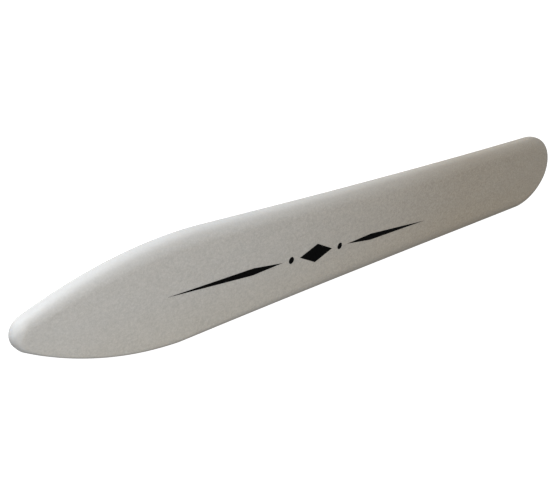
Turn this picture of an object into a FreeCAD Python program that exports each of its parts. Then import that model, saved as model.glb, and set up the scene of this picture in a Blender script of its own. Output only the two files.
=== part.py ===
import FreeCAD, Part
import math
import os

from FreeCAD import Vector

# A bone folder: one flat bar of bone, ground to a blunt point at -X and to a full
# round at +X, with every edge rounded over.  Millimetres.  The origin is under the
# middle of the bar, on the surface that it lies on; +X runs towards the round end
# and +Z up through the printed face.  The underside is flat, so that the bar lies
# still; the upper face is ground down a little towards both ends.

# ---- blade, seen in plan ----
BLADE_LENGTH = 152.4        # 6 in from the point to the round end
SHOULDER_WIDTH = 19.0       # widest place, where the point begins
END_WIDTH = 17.9            # where the round end begins
LEFT_POINT_LENGTH = 34.1    # point to shoulder along the +Y edge
RIGHT_POINT_LENGTH = 29.2   # point to shoulder along the -Y edge
RIGHT_SHOULDER_TURN = 3.4   # degrees; the -Y flank meets its side at a slight corner
LEFT_SIDE_HOLLOW = 0.38     # the +Y side is ground this much hollow; the -Y side is straight
NOSE_RADIUS = 2.7           # the blunt tip of the point
NOSE_OFFSET = 0.8           # the tip is ground this far towards the +Y edge
ROUND_END_LENGTH = 13.0     # long half axis of the elliptical round end

# ---- blade, seen from the side ----
BODY_THICKNESS = 3.2        # 1/8 in
POINT_THICKNESS = 2.9       # at the very tip of the point
END_THICKNESS = 3.0         # at the very tip of the round end
POINT_THINNING = 24.0       # length over which the point thins
END_THINNING = 34.0         # length over which the round end thins
EDGE_RADIUS = 1.1           # rounding along every long edge

# ---- mark printed on the upper face: a swelled rule round a lozenge ----
INK_THICKNESS = 0.05
MARK_CENTRE = Vector(-15.6, -1.2, BODY_THICKNESS)
MARK_TURN = -2.1            # degrees from the blade's own line
LOZENGE_LENGTH = 9.0
LOZENGE_WIDTH = 3.6
DOT_RADIUS = 0.65
DOT_OFFSET = 6.8            # lozenge centre to dot centre
RULE_START = 9.2            # lozenge centre to the near end of a rule
RULE_LENGTH = 25.8
RULE_WIDTH = 1.3            # where the rule swells most
RULE_SWELL = 0.28           # how far along the rule that is, as a share of its length

TIP_X = -BLADE_LENGTH / 2
END_X = BLADE_LENGTH / 2
POINT_TOLERANCE = 1e-6
PARTS_FOLDER = "parts"


def arc(start, middle, end):
    return Part.Arc(start, middle, end).toShape()


def point_on(centre, radius, angle):
    return centre + Vector(radius * math.cos(angle), radius * math.sin(angle), 0)


def flank_circle(point_length, nose_height, turn, hollow):
    """The circle of one flank, drawn on the +Y side: it passes through the shoulder, at
    `turn` radians to the side there, and touches the nose circle from outside it."""
    half_shoulder = SHOULDER_WIDTH / 2
    side_run = BLADE_LENGTH - ROUND_END_LENGTH - point_length
    taper = (END_WIDTH - SHOULDER_WIDTH) / 2 / side_run
    slope = math.atan(taper) - 2 * math.atan(2 * hollow / side_run) + turn
    along = point_length - NOSE_RADIUS
    across = half_shoulder - nose_height
    radius = (along ** 2 + across ** 2 - NOSE_RADIUS ** 2) / (
        2 * (across * math.cos(slope) - along * math.sin(slope) - NOSE_RADIUS))
    shoulder = Vector(TIP_X + point_length, half_shoulder, 0)
    centre = shoulder + Vector(math.sin(slope), -math.cos(slope), 0) * radius
    return centre, radius, shoulder


def half_outline(point_length, nose_height, turn, hollow):
    """Edges of one side of the plan, drawn on the +Y side from the nose to the round end."""
    centre, radius, shoulder = flank_circle(point_length, nose_height, turn, hollow)
    nose_centre = Vector(TIP_X + NOSE_RADIUS, nose_height, 0)
    towards_nose = nose_centre - centre
    nose_angle = math.atan2(towards_nose.y, towards_nose.x) % (2 * math.pi)
    towards_shoulder = shoulder - centre
    shoulder_angle = math.atan2(towards_shoulder.y, towards_shoulder.x)
    nose_edge = arc(point_on(nose_centre, NOSE_RADIUS, math.pi),
                    point_on(nose_centre, NOSE_RADIUS, (math.pi + nose_angle) / 2),
                    point_on(nose_centre, NOSE_RADIUS, nose_angle))
    flank_edge = arc(point_on(centre, radius, nose_angle),
                     point_on(centre, radius, (nose_angle + shoulder_angle) / 2),
                     shoulder)
    end_start = Vector(END_X - ROUND_END_LENGTH, END_WIDTH / 2, 0)
    if hollow:
        side_edge = arc(shoulder, (shoulder + end_start) / 2 - Vector(0, hollow, 0), end_start)
    else:
        side_edge = Part.makeLine(shoulder, end_start)
    ellipse = Part.Ellipse(Vector(END_X - ROUND_END_LENGTH, 0, 0), ROUND_END_LENGTH, END_WIDTH / 2)
    end_edge = ellipse.toShape(0, math.pi / 2)
    return [nose_edge, flank_edge, side_edge, end_edge]


def plan_outline():
    """The closed plan: the -Y side is drawn on the +Y side and mirrored."""
    left = half_outline(LEFT_POINT_LENGTH, NOSE_OFFSET, 0.0, LEFT_SIDE_HOLLOW)
    right = half_outline(RIGHT_POINT_LENGTH, -NOSE_OFFSET, math.radians(RIGHT_SHOULDER_TURN), 0.0)
    mirrored = [edge.mirror(Vector(0, 0, 0), Vector(0, 1, 0)) for edge in right]
    return Part.Wire(Part.__sortEdges__(left + mirrored))


def side_outline():
    """The closed side view: flat below, and above a flat that bows gently down to both ends."""
    flat_start = TIP_X + POINT_THINNING
    flat_end = END_X - END_THINNING

    def bowed(near_x, far_x, far_thickness):
        """The upper face beyond near_x, falling away on a circle tangent to the flat there."""
        run = far_x - near_x
        fall = BODY_THICKNESS - far_thickness
        radius = (run ** 2 + fall ** 2) / (2 * fall)
        half_angle = math.asin(abs(run) / radius) / 2
        half_run = math.copysign(radius * math.sin(half_angle), run)
        half_fall = radius * (1 - math.cos(half_angle))
        return arc(Vector(near_x, 0, BODY_THICKNESS),
                   Vector(near_x + half_run, 0, BODY_THICKNESS - half_fall),
                   Vector(far_x, 0, far_thickness))

    edges = [Part.makeLine(Vector(flat_start, 0, BODY_THICKNESS),
                           Vector(flat_end, 0, BODY_THICKNESS)),
             bowed(flat_start, TIP_X, POINT_THICKNESS),
             bowed(flat_end, END_X, END_THICKNESS),
             Part.makeLine(Vector(TIP_X, 0, 0), Vector(TIP_X, 0, POINT_THICKNESS)),
             Part.makeLine(Vector(END_X, 0, 0), Vector(END_X, 0, END_THICKNESS)),
             Part.makeLine(Vector(TIP_X, 0, 0), Vector(END_X, 0, 0))]
    return Part.Wire(Part.__sortEdges__(edges))


def runs_along_rim(edge):
    """True for the edges round the blade's outline, and not for those across or up its faces."""
    return abs(edge.firstVertex().Point.x - edge.lastVertex().Point.x) > POINT_TOLERANCE


def blade():
    """The plan and the side view cut from one bar, with all the long edges rounded over."""
    plan_prism = Part.Face(plan_outline()).extrude(Vector(0, 0, BODY_THICKNESS))
    side_face = Part.Face(side_outline())
    side_face.translate(Vector(0, -SHOULDER_WIDTH, 0))
    side_prism = side_face.extrude(Vector(0, 2 * SHOULDER_WIDTH, 0))
    bar = plan_prism.common(side_prism).removeSplitter()
    rim = [edge for edge in bar.Edges if runs_along_rim(edge)]
    return bar.makeFillet(EDGE_RADIUS, rim).Solids[0]


def swelled_rule(direction):
    """A thin rule that swells and then runs out to a point, away from the lozenge."""
    start = direction * RULE_START
    widest = direction * (RULE_START + RULE_SWELL * RULE_LENGTH)
    tail = direction * (RULE_START + RULE_LENGTH)
    return Part.makePolygon([Vector(start, 0, 0), Vector(widest, RULE_WIDTH / 2, 0),
                             Vector(tail, 0, 0), Vector(widest, -RULE_WIDTH / 2, 0),
                             Vector(start, 0, 0)])


def mark():
    """The inked shapes: a lozenge in the middle, then a dot and a rule on each side of it."""
    half_length = LOZENGE_LENGTH / 2
    half_width = LOZENGE_WIDTH / 2
    outlines = [Part.makePolygon([Vector(-half_length, 0, 0), Vector(0, half_width, 0),
                                  Vector(half_length, 0, 0), Vector(0, -half_width, 0),
                                  Vector(-half_length, 0, 0)])]
    for direction in (-1, 1):
        dot = Part.Circle(Vector(direction * DOT_OFFSET, 0, 0), Vector(0, 0, 1), DOT_RADIUS)
        outlines.append(Part.Wire(dot.toShape()))
        outlines.append(swelled_rule(direction))
    inked = Part.makeCompound([Part.Face(outline).extrude(Vector(0, 0, INK_THICKNESS))
                               for outline in outlines])
    inked.rotate(Vector(0, 0, 0), Vector(0, 0, 1), MARK_TURN)
    inked.translate(MARK_CENTRE)
    return inked


os.makedirs(PARTS_FOLDER, exist_ok=True)
subparts = {"folder_blade": blade(), "printed_mark": mark()}
for node, shape in subparts.items():
    shape.exportStep(f"{PARTS_FOLDER}/{node}.step")
    box = shape.optimalBoundingBox(False)
    print(f"{node}: {len(shape.Solids)} solids, {shape.Volume:.1f} mm3, valid {shape.isValid()}, "
          f"{box.XLength:.2f} x {box.YLength:.2f} x {box.ZLength:.2f} mm")
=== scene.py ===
import math

import bpy
import numpy as np
from mathutils import Matrix, Vector, noise


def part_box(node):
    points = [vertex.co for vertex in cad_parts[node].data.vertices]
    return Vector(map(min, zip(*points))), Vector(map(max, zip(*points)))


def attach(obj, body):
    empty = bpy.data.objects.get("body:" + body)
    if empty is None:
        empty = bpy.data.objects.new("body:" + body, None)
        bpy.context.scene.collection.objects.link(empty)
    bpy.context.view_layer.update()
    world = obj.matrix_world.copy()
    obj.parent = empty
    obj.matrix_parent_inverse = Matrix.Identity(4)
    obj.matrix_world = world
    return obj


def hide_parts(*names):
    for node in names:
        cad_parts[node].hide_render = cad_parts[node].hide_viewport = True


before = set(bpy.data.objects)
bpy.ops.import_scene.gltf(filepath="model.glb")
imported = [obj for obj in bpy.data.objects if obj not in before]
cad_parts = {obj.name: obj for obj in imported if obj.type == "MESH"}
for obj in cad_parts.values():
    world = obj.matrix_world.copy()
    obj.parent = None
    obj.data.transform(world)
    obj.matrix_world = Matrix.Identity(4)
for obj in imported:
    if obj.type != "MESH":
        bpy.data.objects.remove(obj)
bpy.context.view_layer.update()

# ---- sizes in metres; length and thickness come from the frame, the outline repeats the CAD part's ----
MM = 0.001
blade_low, blade_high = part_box("folder_blade")
TIP_X, END_X = blade_low.x, blade_high.x
THICKNESS = blade_high.z - blade_low.z
HALF_SHOULDER = 9.5 * MM                # half the widest width, where the point begins
HALF_END = 8.95 * MM                    # half the width where the round end begins
LEFT_POINT_LENGTH = 34.1 * MM           # tip to shoulder along the +Y edge
RIGHT_POINT_LENGTH = 29.2 * MM          # tip to shoulder along the -Y edge
RIGHT_SHOULDER_TURN = math.radians(3.4)  # the slight corner at the -Y shoulder
LEFT_SIDE_HOLLOW = 0.38 * MM            # the +Y side is ground this much hollow
NOSE_RADIUS = 2.7 * MM
NOSE_OFFSET = 0.8 * MM                  # towards +Y
ROUND_END_LENGTH = 13.0 * MM            # long half axis of the elliptical end
POINT_THICKNESS = 2.9 * MM              # at the very tip
END_THICKNESS = 3.0 * MM                # at the very end
POINT_THINNING = 24.0 * MM              # length over which the point thins
END_THINNING = 34.0 * MM                # length over which the round end thins


# ---------------------------------------------------------------- blade outline
def side_y(x, point_length, nose_height, turn, hollow):
    """Distance of one edge from the X axis at each x: nose circle, flank circle, side, end."""
    side_run = END_X - TIP_X - ROUND_END_LENGTH - point_length
    taper = (HALF_END - HALF_SHOULDER) / side_run
    slope = math.atan(taper) - 2 * math.atan(2 * hollow / side_run) + turn
    along = point_length - NOSE_RADIUS
    across = HALF_SHOULDER - nose_height
    radius = (along ** 2 + across ** 2 - NOSE_RADIUS ** 2) / (
        2 * (across * math.cos(slope) - along * math.sin(slope) - NOSE_RADIUS))
    shoulder_x = TIP_X + point_length
    centre_x = shoulder_x + radius * math.sin(slope)
    centre_y = HALF_SHOULDER - radius * math.cos(slope)
    nose_x = TIP_X + NOSE_RADIUS
    towards_nose = Vector((nose_x - centre_x, nose_height - centre_y)).normalized()
    touch_x = centre_x + radius * towards_nose.x
    end_x = END_X - ROUND_END_LENGTH

    nose = nose_height + np.sqrt(np.maximum(NOSE_RADIUS ** 2 - (x - nose_x) ** 2, 0))
    flank = centre_y + np.sqrt(np.maximum(radius ** 2 - (x - centre_x) ** 2, 0))
    share = (x - shoulder_x) / side_run
    side = HALF_SHOULDER + taper * (x - shoulder_x) - 4 * hollow * share * (1 - share)
    end = HALF_END * np.sqrt(np.maximum(1 - ((x - end_x) / ROUND_END_LENGTH) ** 2, 0))
    return np.where(x < touch_x, nose, np.where(x < shoulder_x, flank, np.where(x < end_x, side, end)))


def top_height(x):
    """Height of the upper face on the centre line: flat in the middle, bowing down to both ends."""
    into_point = np.clip((TIP_X + POINT_THINNING - x) / POINT_THINNING, 0, 1)
    into_end = np.clip((x - END_X + END_THINNING) / END_THINNING, 0, 1)
    point_fall = (THICKNESS - POINT_THICKNESS) * into_point ** 2
    end_fall = (THICKNESS - END_THICKNESS) * into_end ** 2
    return THICKNESS - point_fall - end_fall


def face_height(x, side):
    """Height of the upper face (side 1) or of the flat underside (side -1) at each x."""
    return top_height(x) if side > 0 else np.zeros_like(x)


# ---------------------------------------------------------------- blade mesh
STATIONS = 300               # along the blade, closer together at both ends
WALL_STEPS = 3               # from the wall's seam up or down to where a rounding begins
RIM_STEPS = 14               # over each rounding
FACE_STEPS = 8               # across the flat
# the upper rounding at eight places along the blade, as shares of its length: how far it reaches
# in over the face on the +Y and the -Y side, and how deep it is; it is smallest at the tip
ROUNDING_PLACES = (0.0, 0.07, 0.19, 0.3, 0.42, 0.62, 0.85, 1.0)
LEFT_REACH = (1.3 * MM, 2.2 * MM, 2.4 * MM, 2.2 * MM, 2.5 * MM, 3.2 * MM, 3.0 * MM, 3.0 * MM)
RIGHT_REACH = (0.6 * MM, 0.6 * MM, 1.4 * MM, 2.2 * MM, 3.0 * MM, 3.4 * MM, 3.2 * MM, 2.4 * MM)
ROUNDING_DEPTH = (1.0 * MM, 2.0 * MM, 2.05 * MM, 2.05 * MM, 2.05 * MM, 2.0 * MM, 1.9 * MM, 1.7 * MM)
ROUNDING_POWER = 0.9         # 1 for an elliptical rounding, less for a squarer one
ROUNDING_BLEND = 0.06        # share of the length over which the change is averaged, each way
BLEND_STEPS = 13
UNDERSIDE_ROUNDING = 1.1 * MM
WAVE_DEPTH = 0.035 * MM      # hand-ground unevenness of the faces
WAVE_LENGTH = 13.0 * MM      # across the blade
WAVE_X_SHARE = 0.6           # waves along the blade for each one across it
WAVE_OFFSET = 7.0            # each way in the noise, so that the two faces differ


def surface_wave(x, y, side):
    """How far the ground face lies below its ideal height, never negative."""
    spot = Vector((x / WAVE_LENGTH * WAVE_X_SHARE, y / WAVE_LENGTH, WAVE_OFFSET * side))
    return WAVE_DEPTH * (0.5 + 0.5 * noise.noise(spot))


def rounding(points, side):
    """Reach and depth of one face's rounding at each point of the outline, changing smoothly."""
    x, y = points[:, 0], points[:, 1]
    if side < 0:
        return [np.full_like(x, UNDERSIDE_ROUNDING)] * 2

    def along(values):
        share = (x - TIP_X) / (END_X - TIP_X)
        spread = np.linspace(-ROUNDING_BLEND, ROUNDING_BLEND, BLEND_STEPS)
        return np.mean([np.interp(share + step, ROUNDING_PLACES, values) for step in spread], axis=0)

    left_share = np.clip(0.5 + y / (2 * NOSE_RADIUS), 0, 1)
    reach = along(RIGHT_REACH) * (1 - left_share) + along(LEFT_REACH) * left_share
    return [reach, along(ROUNDING_DEPTH)]


def closed_outline():
    """Plan points once round the blade from the tip, with the inward direction at each."""
    x = (TIP_X + END_X) / 2 - (END_X - TIP_X) / 2 * np.cos(np.linspace(0, math.pi, STATIONS))
    left = side_y(x, LEFT_POINT_LENGTH, NOSE_OFFSET, 0.0, LEFT_SIDE_HOLLOW)
    right = -side_y(x, RIGHT_POINT_LENGTH, -NOSE_OFFSET, RIGHT_SHOULDER_TURN, 0.0)
    points = np.concatenate([np.stack([x, left], 1), np.stack([x, right], 1)[-2:0:-1]])
    along = np.roll(points, -1, 0) - np.roll(points, 1, 0)
    along /= np.linalg.norm(along, axis=1)[:, None]
    inward = np.stack([along[:, 1], -along[:, 0]], 1)
    return points, inward


def blade_mesh():
    """Rings from the rim in over both faces, and a ladder of quads across each flat."""
    points, inward = closed_outline()
    count = len(points)
    sizes = {side: rounding(points, side) for side in (1, -1)}
    vertices, sheen_and_polish, faces = [], [], []

    def add_ring(place, height, shine, side):
        start = len(vertices)
        for (x, y), z in zip(place, height):
            drop = surface_wave(x, y, side) * (1 - shine)
            vertices.append((x, y, z - side * drop))
            sheen_and_polish.append(shine)
        return start

    def wall_ring(share, side):
        """A ring up or down the wall from its seam, halfway between the two roundings."""
        upper = top_height(points[:, 0]) - sizes[1][1]
        lower = sizes[-1][1]
        seam = (upper + lower) / 2
        edge = upper if side > 0 else lower
        return add_ring(points, seam + (edge - seam) * share, 1.0, side)

    def rounding_ring(angle, side):
        reach, depth = sizes[side]
        place = points + inward * (reach * (1 - math.cos(angle) ** ROUNDING_POWER))[:, None]
        drop = depth * (1 - math.sin(angle) ** ROUNDING_POWER)
        return add_ring(place, face_height(place[:, 0], side) - side * drop, math.cos(angle), side)

    def join_rings(outer, inner, side):
        for i in range(count):
            j = (i + 1) % count
            quad = (outer + i, outer + j, inner + j, inner + i)
            faces.append(quad if side < 0 else quad[::-1])

    def add_flat(ring, side):
        """Rungs between the two edges of the innermost ring, at the same station on each."""
        rungs = []
        for i in range(1, STATIONS - 1):
            near, far = ring + i, ring + count - i
            rung = [near]
            a, b = Vector(vertices[near]), Vector(vertices[far])
            for step in range(1, FACE_STEPS):
                p = a.lerp(b, step / FACE_STEPS)
                p.z = float(face_height(p.x, side)) - side * surface_wave(p.x, p.y, side)
                rung.append(len(vertices))
                vertices.append(tuple(p))
                sheen_and_polish.append(0.0)
            rungs.append(rung + [far])
        tip, end = ring, ring + STATIONS - 1
        for rung, pole in ((rungs[0], tip), (rungs[-1], end)):
            for a, b in zip(rung, rung[1:]):
                triangle = (pole, a, b) if pole == tip else (pole, b, a)
                faces.append(triangle if side < 0 else triangle[::-1])
        for here, there in zip(rungs, rungs[1:]):
            for k in range(FACE_STEPS):
                quad = (here[k], there[k], there[k + 1], here[k + 1])
                faces.append(quad if side < 0 else quad[::-1])

    seam_ring = wall_ring(0.0, 1)    # shared by the upper and lower halves
    for side in (1, -1):
        outer = seam_ring
        inner_rings = [wall_ring(step / WALL_STEPS, side) for step in range(1, WALL_STEPS + 1)]
        inner_rings += [rounding_ring(math.pi / 2 * step / RIM_STEPS, side)
                        for step in range(1, RIM_STEPS + 1)]
        for inner in inner_rings:
            join_rings(outer, inner, side)
            outer = inner
        add_flat(outer, side)

    mesh = bpy.data.meshes.new("bone_blade")
    mesh.from_pydata(vertices, [], faces)
    # the rim mask: it lowers the roughness of the polish and carries the rim's painted sheen
    mesh.attributes.new("edge_polish_and_sheen", "FLOAT", "POINT").data.foreach_set("value", sheen_and_polish)
    mesh.shade_smooth()
    return mesh


# ---------------------------------------------------------------- printed mark
MARK_CENTRE = Vector((-15.6, -1.2)) * MM
MARK_TURN = math.radians(-2.1)   # from the blade's own line
LOZENGE_LENGTH = 9.0 * MM
LOZENGE_WIDTH = 3.6 * MM
DOT_RADIUS = 0.65 * MM
DOT_OFFSET = 6.8 * MM        # lozenge centre to dot centre
RULE_START = 9.2 * MM        # lozenge centre to the near end of a rule
RULE_LENGTH = 25.8 * MM
RULE_WIDTH = 1.3 * MM        # where the rule swells most
RULE_SWELL = 0.28            # how far along the rule that is, as a share of its length
INK_RISE = 0.02 * MM         # above the blade
INK_ROOT = 0.04 * MM         # into the blade, so that no gap shows
BLUNT = 0.02 * MM            # half width left at every sharp end
LOZENGE_POINTS = 37
RULE_POINTS = 90
DOT_POINTS = 24
DOT_END_ANGLE = 0.02         # radians left off each end of a dot, which closes it with a wall
ACROSS_STEPS = 6


def add_inked_shape(vertices, faces, spine, half_widths):
    """A closed thin plate on the blade: a strip along its spine, with a half width at each point."""
    turn = Matrix.Rotation(MARK_TURN, 2)
    start = len(vertices)
    columns = len(spine)
    rows = ACROSS_STEPS + 1
    for top in (True, False):
        for along, half_width in zip(spine, half_widths):
            for k in range(rows):
                place = turn @ Vector((along, half_width * (2 * k / ACROSS_STEPS - 1))) + MARK_CENTRE
                surface = float(top_height(place.x)) - surface_wave(place.x, place.y, 1)
                vertices.append((place.x, place.y, surface + INK_RISE if top else surface - INK_ROOT))

    def index(top, column, k):
        return start + (0 if top else columns * rows) + column * rows + k

    for c in range(columns - 1):
        for k in range(ACROSS_STEPS):
            corners = ((c, k), (c + 1, k), (c + 1, k + 1), (c, k + 1))
            faces.append([index(True, *corner) for corner in corners])
            faces.append([index(False, *corner) for corner in reversed(corners)])
        for k in (0, ACROSS_STEPS):
            wall = [index(True, c, k), index(False, c, k), index(False, c + 1, k), index(True, c + 1, k)]
            faces.append(wall if k == 0 else wall[::-1])
    for c in (0, columns - 1):
        for k in range(ACROSS_STEPS):
            wall = [index(True, c, k), index(True, c, k + 1), index(False, c, k + 1), index(False, c, k)]
            faces.append(wall if c == 0 else wall[::-1])


def mark_mesh():
    """A swelled rule on each side of a lozenge, with a dot between: a printer's plain ornament."""
    vertices, faces = [], []
    half_length = LOZENGE_LENGTH / 2
    spine = np.linspace(-half_length, half_length, LOZENGE_POINTS)
    half_width = LOZENGE_WIDTH / 2 * (1 - np.abs(spine) / half_length)
    add_inked_shape(vertices, faces, spine, np.maximum(half_width, BLUNT))
    for direction in (-1, 1):
        angle = np.linspace(DOT_END_ANGLE, math.pi - DOT_END_ANGLE, DOT_POINTS)
        dot = direction * DOT_OFFSET - DOT_RADIUS * np.cos(angle)
        add_inked_shape(vertices, faces, dot, DOT_RADIUS * np.sin(angle))
        share = np.linspace(0, 1, RULE_POINTS)
        swell = np.where(share < RULE_SWELL, share / RULE_SWELL, (1 - share) / (1 - RULE_SWELL))
        half_width = RULE_WIDTH / 2 * swell
        spine = RULE_START + RULE_LENGTH * share
        if direction < 0:
            spine, half_width = -spine[::-1], half_width[::-1]
        add_inked_shape(vertices, faces, spine, np.maximum(half_width, BLUNT))
    mesh = bpy.data.meshes.new("ink_mark")
    mesh.from_pydata(vertices, [], faces)
    return mesh


# ---------------------------------------------------------------- materials
WHITE = (1, 1, 1, 1)


def set_inputs(node, values):
    """Sets the sockets of a node by name."""
    for key, value in values.items():
        node.inputs[key].default_value = value


class Nodes:
    """Short names for making and joining the nodes of one material."""

    def __init__(self, name):
        self.material = bpy.data.materials.new(name)
        self.material.use_nodes = True
        self.tree = self.material.node_tree
        self.shader = self.tree.nodes["Principled BSDF"]

    def add(self, kind, **values):
        node = self.tree.nodes.new(kind)
        for key, value in values.items():
            setattr(node, key, value)
        return node

    def link(self, source, target):
        self.tree.links.new(source, target)

    def noise(self, place, scale, x_share=1.0, detail=3.0, roughness=0.5):
        """Noise with `scale` features per metre across the blade, and `x_share` of that along it."""
        mapping = self.add("ShaderNodeMapping")
        set_inputs(mapping, {"Scale": (x_share, 1, 1)})
        self.link(place, mapping.inputs["Vector"])
        texture = self.add("ShaderNodeTexNoise")
        set_inputs(texture, {"Scale": scale, "Detail": detail, "Roughness": roughness})
        self.link(mapping.outputs["Vector"], texture.inputs["Vector"])
        return texture.outputs["Fac"]

    def remap(self, source, low, high, to_low, to_high, smooth=False):
        node = self.add("ShaderNodeMapRange")
        if smooth:
            node.interpolation_type = "SMOOTHSTEP"
        set_inputs(node, {"From Min": low, "From Max": high, "To Min": to_low, "To Max": to_high})
        self.link(source, node.inputs["Value"])
        return node.outputs["Result"]

    def shade(self, place, scale, shades, used=(0.3, 0.7), smooth=False, **noise_values):
        """A shade that varies between two values with the `used` part of a noise's range."""
        return self.remap(self.noise(place, scale, **noise_values), *used, *shades, smooth)

    def mix(self, factor, a, b, blend="MIX"):
        """A colour mix; a and b are colours or sockets, and factor a number or a socket."""
        node = self.add("ShaderNodeMix", data_type="RGBA", blend_type=blend)
        sockets = {"Factor": node.inputs[0], "A": node.inputs[6], "B": node.inputs[7]}
        for key, value in (("Factor", factor), ("A", a), ("B", b)):
            if isinstance(value, bpy.types.NodeSocket):
                self.link(value, sockets[key])
            else:
                sockets[key].default_value = value
        return node.outputs[2]

    def combine(self, operation, a, b):
        node = self.add("ShaderNodeMath", operation=operation)
        self.link(a, node.inputs[0])
        self.link(b, node.inputs[1])
        return node.outputs["Value"]

    def bump(self, height, strength, normal=None):
        node = self.add("ShaderNodeBump")
        set_inputs(node, {"Distance": BUMP_DEPTH, "Strength": strength})
        self.link(height, node.inputs["Height"])
        if normal is not None:
            self.link(normal, node.inputs["Normal"])
        return node.outputs["Normal"]


BUMP_DEPTH = 0.01 * MM
# the colours grow darker towards the round end, which is painted shade for the light falling off along
# the blade; their warming is a stain
BONE_TINTS_AND_SHADE = (                       # share of the length from the tip, and the colour there
    (0.05, (0.450, 0.438, 0.412, 1)),
    (0.30, (0.416, 0.400, 0.370, 1)),
    (0.72, (0.318, 0.282, 0.230, 1)),
)
EDGE_STAIN = (1.0, 0.98, 0.935, 1)   # along the -Y edge
# painted sheen: a cooler tint on the rim that stands in for the neutral colour of its highlight
RIM_SHEEN_TINT = (0.96, 0.985, 1.03, 1)    # on the polished rim
RIM_TEXTURE = 0.25                   # how much of the face's texture is left on the polished rim
TIP_TEXTURE = 0.42                   # how much of the round end's texture shows at the tip
RIM_POLISH = -0.10                   # added to the roughness on the rim


def bone_material():
    n = Nodes("ground_bone")
    place = n.add("ShaderNodeTexCoord").outputs["Object"]
    axes = n.add("ShaderNodeSeparateXYZ")
    n.link(place, axes.inputs["Vector"])

    # base colour: a cool grey at the point, stained warmer by the hand towards the round end and along
    # the -Y edge, a little darker along that edge; its darkening towards the round end is painted shade
    # for the light's fall-off
    along = n.remap(axes.outputs["X"], TIP_X, END_X, 0.0, 1.0)
    ramp = n.add("ShaderNodeValToRGB")
    n.link(along, ramp.inputs["Fac"])
    ramp.color_ramp.elements[0].position, ramp.color_ramp.elements[0].color = BONE_TINTS_AND_SHADE[0]
    ramp.color_ramp.elements[1].position, ramp.color_ramp.elements[1].color = BONE_TINTS_AND_SHADE[-1]
    for position, tint in BONE_TINTS_AND_SHADE[1:-1]:
        ramp.color_ramp.elements.new(position).color = tint
    near_edge = n.remap(axes.outputs["Y"], 0.0, -HALF_END, 0.0, 1.0)
    colour = n.mix(1.0, ramp.outputs["Color"], n.mix(near_edge, WHITE, EDGE_STAIN), "MULTIPLY")

    # soft clouds, mottling and speckles under a millimetre across, and along the blade the faint
    # grain of the grinding belt and a few fine dark flecks
    shades = (
        n.shade(place, 110, (0.97, 1.03), x_share=0.35),
        n.shade(place, 2000, (0.85, 1.14), x_share=0.9, roughness=0.6),
        n.shade(place, 4200, (0.82, 1.16), detail=2.0),
        n.shade(place, 2600, (0.985, 1.01), used=(0.35, 0.65), x_share=0.05, detail=2.0),
        n.shade(place, 4200, (0.86, 1.0), used=(0.24, 0.31), smooth=True, x_share=0.09, detail=1.0),
    )
    # the rim is polished, so it is cleaner and smoother than the faces; it is also painted a little
    # cooler, a painted sheen for the neutral colour of its highlight
    rim = n.add("ShaderNodeAttribute", attribute_name="edge_polish_and_sheen").outputs["Fac"]
    texture_share = n.combine("MULTIPLY", n.remap(rim, 0.0, 1.0, 1.0, RIM_TEXTURE),
                              n.remap(along, 0.0, 1.0, TIP_TEXTURE, 1.0))
    for shade in shades:
        colour = n.mix(texture_share, colour, shade, "MULTIPLY")
    # painted sheen: the rim's colour is cooled towards the colour of its highlight
    colour = n.mix(1.0, colour, n.mix(rim, WHITE, RIM_SHEEN_TINT), "MULTIPLY")
    n.link(colour, n.shader.inputs["Base Color"])
    dull = n.shade(place, 420, (0.47, 0.60), x_share=0.3)
    polished = n.remap(rim, 0.0, 1.0, 0.0, RIM_POLISH)
    n.link(n.combine("ADD", dull, polished), n.shader.inputs["Roughness"])

    lumps = n.bump(n.noise(place, 1500, x_share=0.9), 0.4)
    scratches = n.bump(n.noise(place, 5200, x_share=0.05, detail=2.0), 0.25, lumps)
    n.link(scratches, n.shader.inputs["Normal"])

    set_inputs(n.shader, {
        "IOR": 1.5,
        "Subsurface Weight": 0.15,
        "Subsurface Radius": (1.0, 0.8, 0.6),
        "Subsurface Scale": 1.2 * MM,
    })
    return n.material


INK_TINTS = ((0.0005, 0.0005, 0.0005, 1), (0.003, 0.003, 0.003, 1))   # thick ink and thin


def ink_material():
    n = Nodes("black_print")
    place = n.add("ShaderNodeTexCoord").outputs["Object"]
    cover = n.noise(place, 2500)
    n.link(n.mix(n.remap(cover, 0.35, 0.7, 0.0, 1.0), *INK_TINTS), n.shader.inputs["Base Color"])
    n.link(n.remap(cover, 0.3, 0.7, 0.5, 0.68), n.shader.inputs["Roughness"])
    n.link(n.bump(cover, 0.4), n.shader.inputs["Normal"])
    set_inputs(n.shader, {"Specular IOR Level": 0.03})
    return n.material


# ---------------------------------------------------------------- pieces
def add_piece(mesh, material, node):
    piece = bpy.data.objects.new(mesh.name, mesh)
    bpy.context.scene.collection.objects.link(piece)
    mesh.materials.append(material)
    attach(piece, "root")
    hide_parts(node)
    return piece


# ---------------------------------------------------------------- floor
FLOOR_TINTS = ((0.28, 0.28, 0.28, 1), (0.30, 0.30, 0.30, 1))
FLOOR_GLOW = 0.95
HUB_RADIUS = 0.001           # the small disc that closes the middle of the floor
FLOOR_RADIUS = 3.0           # the flat part of the studio sweep
SWEEP_RADIUS = 1.0           # its curve up into the wall
WALL_TOP = 6.0
SWEEP_STEPS = 12
TURN_STEPS = 96


def floor_material():
    n = Nodes("pale_floor")
    place = n.add("ShaderNodeTexCoord").outputs["Object"]
    tone = n.mix(n.noise(place, 6, detail=2.0), *FLOOR_TINTS)
    n.link(tone, n.shader.inputs["Base Color"])
    set_inputs(n.shader, {"Roughness": 0.9, "Emission Color": WHITE, "Emission Strength": FLOOR_GLOW})
    return n.material


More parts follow.
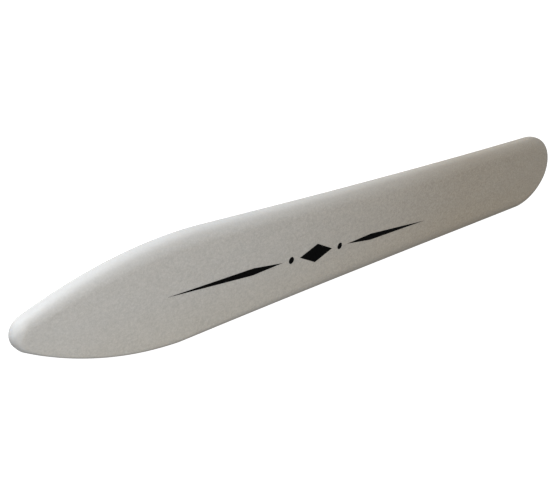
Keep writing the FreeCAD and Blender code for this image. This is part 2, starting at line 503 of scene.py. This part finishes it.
def add_floor():
    """A round floor that curves up into a wall all round, like a photographer's sweep."""
    profile = [(HUB_RADIUS, 0.0)]
    for step in range(SWEEP_STEPS + 1):
        angle = math.pi / 2 * step / SWEEP_STEPS
        radius = FLOOR_RADIUS + SWEEP_RADIUS * math.sin(angle)
        profile.append((radius, SWEEP_RADIUS * (1 - math.cos(angle))))
    profile.append((FLOOR_RADIUS + SWEEP_RADIUS, WALL_TOP))
    vertices, faces = [], []
    for radius, height in profile:
        for turn in range(TURN_STEPS):
            angle = 2 * math.pi * turn / TURN_STEPS
            vertices.append((radius * math.cos(angle), radius * math.sin(angle), height))
    for ring in range(len(profile) - 1):
        for turn in range(TURN_STEPS):
            here, there = ring * TURN_STEPS, (ring + 1) * TURN_STEPS
            after = (turn + 1) % TURN_STEPS
            faces.append((here + turn, there + turn, there + after, here + after))
    faces.append(tuple(range(TURN_STEPS)))
    mesh = bpy.data.meshes.new("floor")
    mesh.from_pydata(vertices, [], faces)
    mesh.shade_smooth()
    mesh.materials.append(floor_material())
    floor = bpy.data.objects.new("floor", mesh)
    bpy.context.scene.collection.objects.link(floor)
    floor.visible_shadow = False
    floor.visible_diffuse = False
    floor.visible_glossy = False


# ---------------------------------------------------------------- camera and light
CAMERA_RIGHT = Vector((0.6769, 0.1104, 0.7277))
CAMERA_UP = Vector((0.2231, 0.9114, -0.3459))
CAMERA_PLACE = Vector((-130.35, 60.55, 90.35)) * MM
CAMERA_LENS = 56.99
CAMERA_SENSOR = 36.0
NEAREST_SEEN = 0.005
FARTHEST_SEEN = 50.0


def add_camera():
    camera = bpy.data.objects.new("camera", bpy.data.cameras.new("camera"))
    camera.data.lens = CAMERA_LENS
    camera.data.sensor_width = CAMERA_SENSOR
    camera.data.clip_start = NEAREST_SEEN
    camera.data.clip_end = FARTHEST_SEEN
    back = CAMERA_RIGHT.cross(CAMERA_UP).normalized()
    right = CAMERA_UP.cross(back).normalized()
    up = back.cross(right)
    camera.matrix_world = Matrix((
        (right.x, up.x, back.x, CAMERA_PLACE.x),
        (right.y, up.y, back.y, CAMERA_PLACE.y),
        (right.z, up.z, back.z, CAMERA_PLACE.z),
        (0, 0, 0, 1)))
    bpy.context.scene.collection.objects.link(camera)
    bpy.context.scene.camera = camera


def add_area_light(name, place, size, power, colour=(1, 1, 1), reflected=True):
    """A round soft light aimed at the origin; `reflected` says whether glossy surfaces mirror it."""
    light = bpy.data.lights.new(name, "AREA")
    light.shape = "DISK"
    light.size = size
    light.energy = power
    light.color = colour
    lamp = bpy.data.objects.new(name, light)
    lamp.location = place
    lamp.rotation_mode = "QUATERNION"
    lamp.rotation_quaternion = Vector(place).to_track_quat("Z", "Y")
    lamp.visible_glossy = reflected
    bpy.context.scene.collection.objects.link(lamp)


def add_world(bright_side, dim, bright):
    """Even white light all round, brighter on one side."""
    world = bpy.data.worlds.new("studio")
    world.use_nodes = True
    nodes, links = world.node_tree.nodes, world.node_tree.links
    towards = nodes.new("ShaderNodeVectorMath")
    towards.operation = "DOT_PRODUCT"
    towards.inputs[1].default_value = Vector(bright_side).normalized()
    links.new(nodes.new("ShaderNodeTexCoord").outputs["Generated"], towards.inputs[0])
    strength = nodes.new("ShaderNodeMapRange")
    set_inputs(strength, {"From Min": -1.0, "From Max": 1.0, "To Min": dim, "To Max": bright})
    links.new(towards.outputs["Value"], strength.inputs["Value"])
    links.new(strength.outputs["Result"], nodes["Background"].inputs["Strength"])
    set_inputs(nodes["Background"], {"Color": WHITE})
    bpy.context.scene.world = world


add_camera()
add_world(bright_side=(-0.5, 0.85, 0.0), dim=0.20, bright=0.70)
add_area_light("front", place=(-0.27, 0.26, 0.30), size=0.25, power=1.6)
# low beyond the +Y edge; it brightens the rim without leaving a glint on it
add_area_light("edge", place=(-0.18, 0.26, -0.25), size=0.20, power=1.8, colour=(0.96, 1.0, 1.06),
               reflected=False)
add_piece(blade_mesh(), bone_material(), "folder_blade")
add_piece(mark_mesh(), ink_material(), "printed_mark")
add_floor()
bpy.context.scene.view_settings.view_transform = "Standard"
